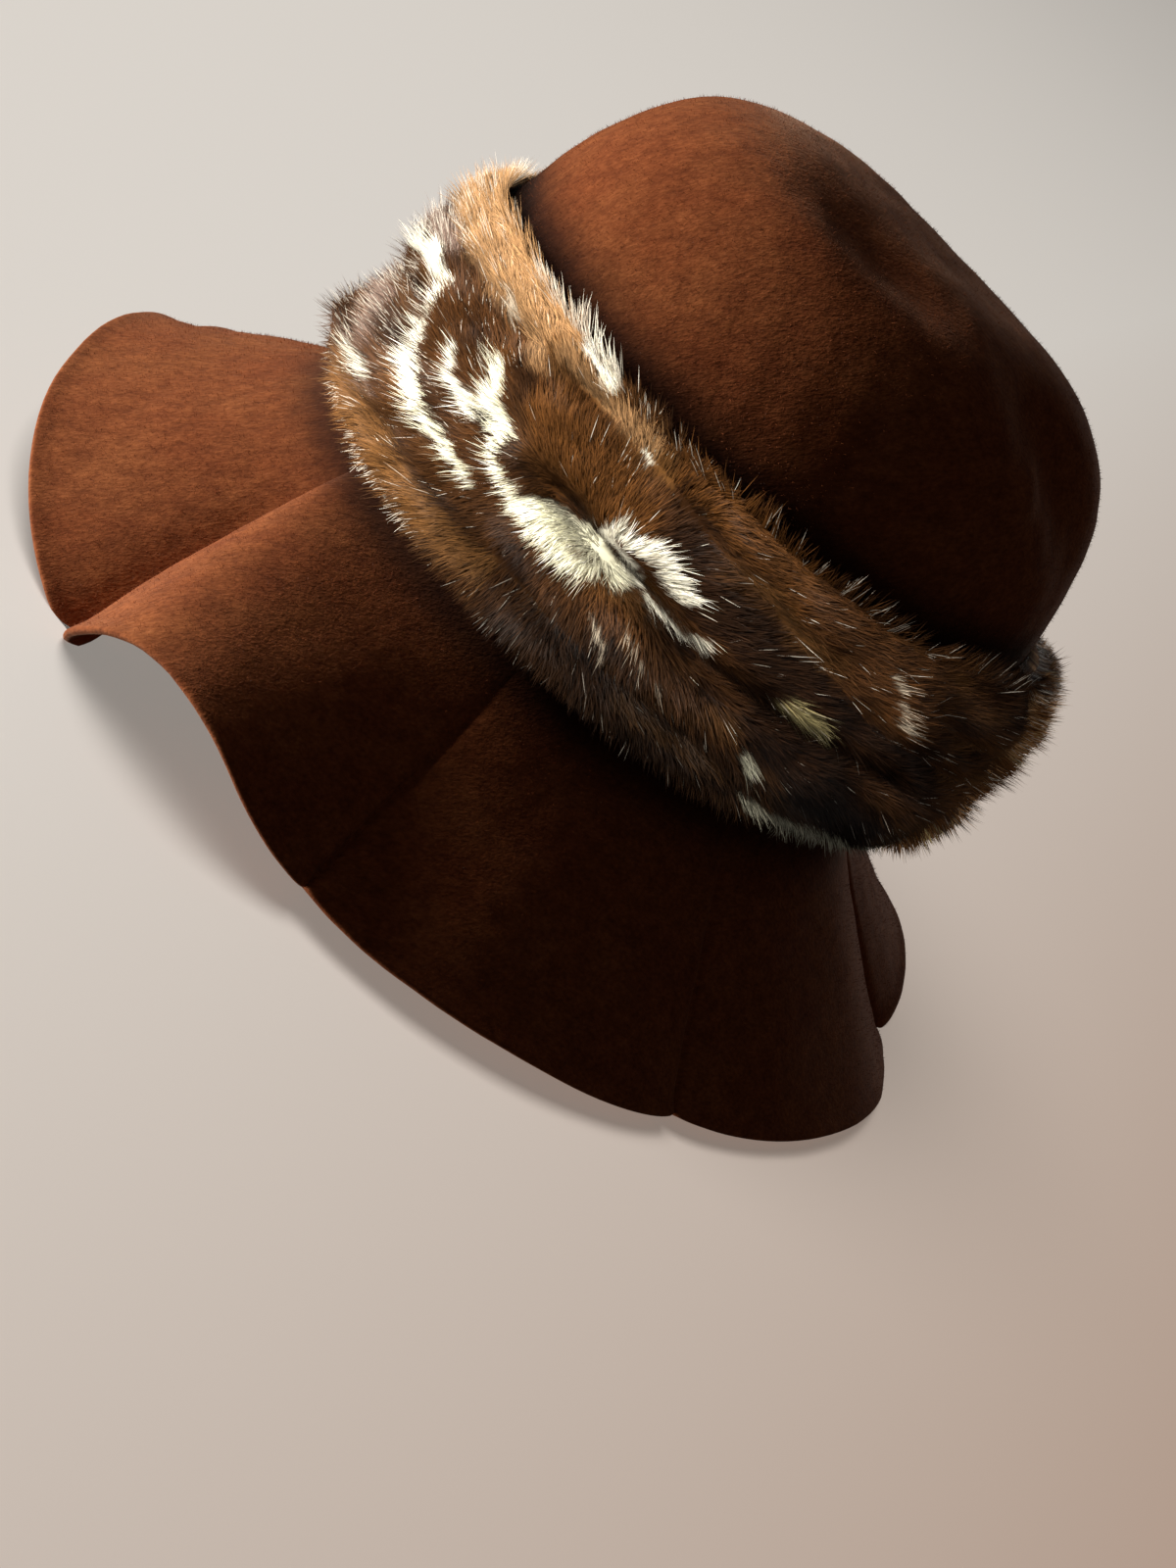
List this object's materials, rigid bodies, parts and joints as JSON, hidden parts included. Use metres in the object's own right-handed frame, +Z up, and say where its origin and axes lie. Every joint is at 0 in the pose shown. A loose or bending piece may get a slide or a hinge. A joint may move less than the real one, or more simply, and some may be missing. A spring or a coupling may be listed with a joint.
{
  "type": "picture hat",
  "caption": "Felt hat with a tall rounded crown, a drooping brim pressed into flutes and a wide gathered fur band.",
  "frame": {"origin": "on the surface that the hat stands on, under the middle of the brim's outline", "axes": "+Z up through the crown, -Y toward the wearer's front, +X toward the wearer's left"},
  "size_m": [0.3176, 0.326, 0.2054],
  "materials": {
    "crown_felt": "brushed velour felt, matt, chestnut brown",
    "brim_felt": "brushed velour felt, matt, chestnut brown",
    "band_fur": "glossy fur, tan and dark brown with cream streaks",
    "end_fur": "glossy fur, dark brown with tan streaks"
  },
  "bodies": {
    "root": {"crown": "crown_felt", "brim": "brim_felt", "fur_band": "band_fur", "fur_end": "end_fur"}
  },
  "joints": []
}
